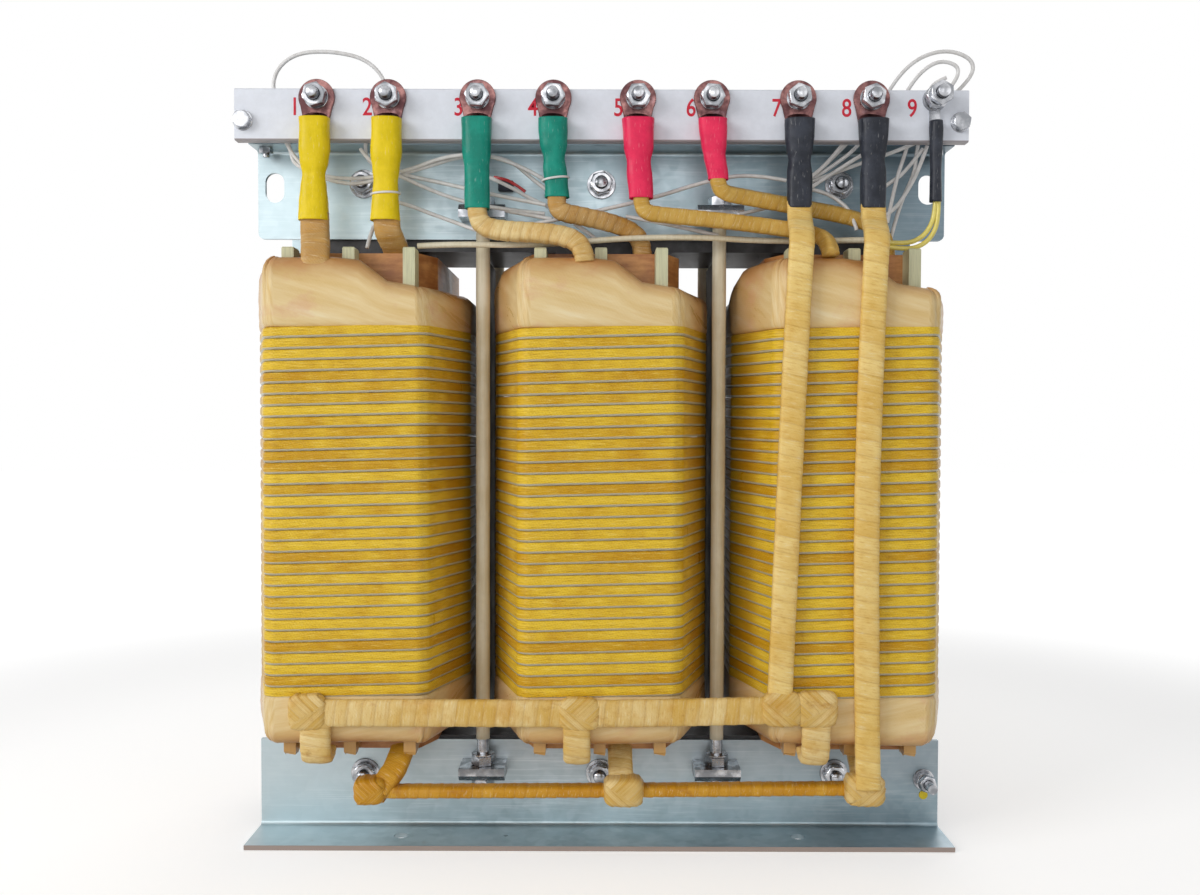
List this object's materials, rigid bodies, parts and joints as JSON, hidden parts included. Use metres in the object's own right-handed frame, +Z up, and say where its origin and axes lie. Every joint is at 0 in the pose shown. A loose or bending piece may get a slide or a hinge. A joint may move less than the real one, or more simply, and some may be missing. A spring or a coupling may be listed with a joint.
{
  "type": "dry type transformer",
  "caption": "Open dry type transformer with taped coils side by side on a black laminated core, between folded steel clamps, and a terminal board along the top.",
  "frame": {"origin": "centre of the four foot holes, on the floor", "axes": "+X along the row of coils to the earth terminal, -Y towards the terminal side, +Z up"},
  "size_m": [0.6015, 0.2728, 0.655],
  "materials": {
    "copper_lug": "tarnished copper",
    "core_varnish": "black varnished sheet stack",
    "cream_sleeving": "cream insulating sleeve",
    "duct_stick_board": "pale glass laminate",
    "galvanised_sheet": "dull zinc coat with light scratches",
    "pressboard": "brown pressboard",
    "sleeve_black": "shrunk sleeve",
    "sleeve_green": "shrunk sleeve",
    "sleeve_red": "shrunk sleeve",
    "sleeve_yellow": "shrunk sleeve",
    "varnished_inner_coil": "varnished red-brown tape",
    "varnished_tape": "varnished cotton tape",
    "white_board": "white moulded board",
    "white_wire": "thin insulated wire",
    "yellow_coil_tape": "varnished yellow tape",
    "zinc_hardware": "bright zinc"
  },
  "bodies": {
    "root": {"board_bolts": "zinc_hardware", "board_brackets": "zinc_hardware", "board_nuts": "zinc_hardware", "cable_sleeves_black": "sleeve_black", "cable_sleeves_green": "sleeve_green", "cable_sleeves_red": "sleeve_red", "cable_sleeves_yellow": "sleeve_yellow", "coil_former_left": "pressboard", "coil_former_middle": "pressboard", "coil_former_right": "pressboard", "duct_sticks_left": "duct_stick_board", "duct_sticks_middle": "duct_stick_board", "duct_sticks_right": "duct_stick_board", "earth_lug": "zinc_hardware", "earth_mark": "sleeve_yellow", "earth_nut": "zinc_hardware", "earth_sleeve": "sleeve_black", "earth_stud": "zinc_hardware", "end_bands_left": "varnished_tape", "end_bands_middle": "varnished_tape", "end_bands_right": "varnished_tape", "inner_winding_left": "varnished_inner_coil", "inner_winding_middle": "varnished_inner_coil", "inner_winding_right": "varnished_inner_coil", "laminated_core": "core_varnish", "lead_inner_left": "varnished_tape", "lead_inner_middle": "varnished_tape", "lead_inner_right": "varnished_tape", "lead_outer_left": "varnished_tape", "lead_outer_middle": "varnished_tape", "lead_outer_right": "varnished_tape", "lower_clamp_front": "galvanised_sheet", "lower_clamp_rear": "galvanised_sheet", "neutral_riser_inner": "varnished_tape", "neutral_riser_outer": "varnished_tape", "outer_winding_left": "yellow_coil_tape", "outer_winding_middle": "yellow_coil_tape", "outer_winding_right": "yellow_coil_tape", "sensor_wires": "white_wire", "shield_wires": "cream_sleeving", "star_bar_lower": "varnished_tape", "star_bar_upper": "varnished_tape", "temperature_sensor": "sleeve_black", "terminal_board": "white_board", "terminal_bolts": "zinc_hardware", "terminal_lugs": "copper_lug", "terminal_nuts": "zinc_hardware", "tie_rod_brackets": "zinc_hardware", "tie_rod_nuts": "zinc_hardware", "tie_rod_sleeves": "cream_sleeving", "tie_rods": "zinc_hardware", "upper_clamp_front": "galvanised_sheet", "upper_clamp_rear": "galvanised_sheet", "yoke_bolts": "zinc_hardware", "yoke_nuts": "zinc_hardware", "yoke_washers": "zinc_hardware"}
  },
  "joints": []
}
